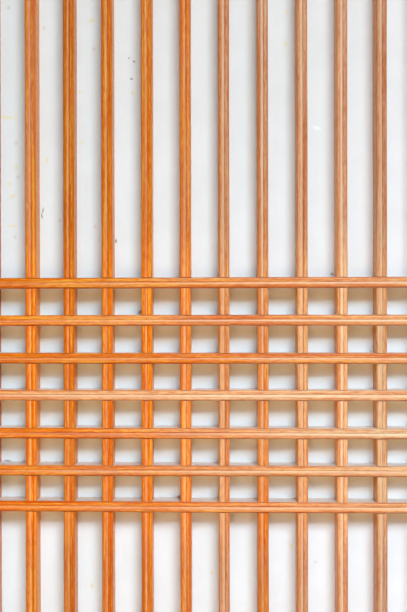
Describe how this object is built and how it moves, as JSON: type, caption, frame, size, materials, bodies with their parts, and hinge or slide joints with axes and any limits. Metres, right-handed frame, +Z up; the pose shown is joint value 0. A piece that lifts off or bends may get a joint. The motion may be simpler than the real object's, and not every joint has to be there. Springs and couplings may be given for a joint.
{
  "type": "lattice window",
  "caption": "Hinged wooden window: band lattice of beaded half-lapped bars backed with white paper, in a sash with iron pintle hinges and a ring pull, inside a rebated wooden frame.",
  "frame": {"origin": "middle of the sill's underside, at half the frame's depth", "axes": "+Z up, +X along the width towards the pull, -Y the outside face that carries the lattice"},
  "size_m": [0.755, 0.1088, 1.127],
  "materials": {
    "lattice_wood": "oiled pine, satin",
    "sash_wood": "oiled pine, satin",
    "frame_wood": "oiled pine, satin",
    "peg_wood": "end grain",
    "paper": "matt, fibrous",
    "iron": "forged, blackened"
  },
  "bodies": {
    "frame": {"frame_head": "frame_wood", "frame_sill": "frame_wood", "frame_hinge_jamb": "frame_wood", "frame_pull_jamb": "frame_wood", "frame_pegs": "peg_wood", "upper_hinge_socket": "iron", "lower_hinge_socket": "iron"},
    "sash": {"upright_bar_01": "lattice_wood", "upright_bar_02": "lattice_wood", "upright_bar_03": "lattice_wood", "upright_bar_04": "lattice_wood", "upright_bar_05": "lattice_wood", "upright_bar_06": "lattice_wood", "upright_bar_07": "lattice_wood", "upright_bar_08": "lattice_wood", "upright_bar_09": "lattice_wood", "upright_bar_10": "lattice_wood", "cross_bar_1": "lattice_wood", "cross_bar_2": "lattice_wood", "cross_bar_3": "lattice_wood", "cross_bar_4": "lattice_wood", "cross_bar_5": "lattice_wood", "cross_bar_6": "lattice_wood", "cross_bar_7": "lattice_wood", "hinge_stile": "sash_wood", "pull_stile": "sash_wood", "top_rail": "sash_wood", "bottom_rail": "sash_wood", "sash_pegs": "peg_wood", "paper_sheet": "paper", "pull_plate": "iron", "pull_staple": "iron", "upper_hinge_pintle": "iron", "lower_hinge_pintle": "iron"},
    "ring": {"pull_ring": "iron"}
  },
  "joints": [
    {"name": "sash_hinge", "type": "hinge", "parent": "frame", "child": "sash", "pos_m": [-0.3285, -0.053, 0.5695], "axis": [0, 0, -1], "range_deg": [0, 170]},
    {"name": "ring_swing", "type": "hinge", "parent": "sash", "child": "ring", "pos_m": [0.2985, -0.055, 0.532], "axis": [-1, 0, 0], "range_deg": [-6, 180]}
  ]
}
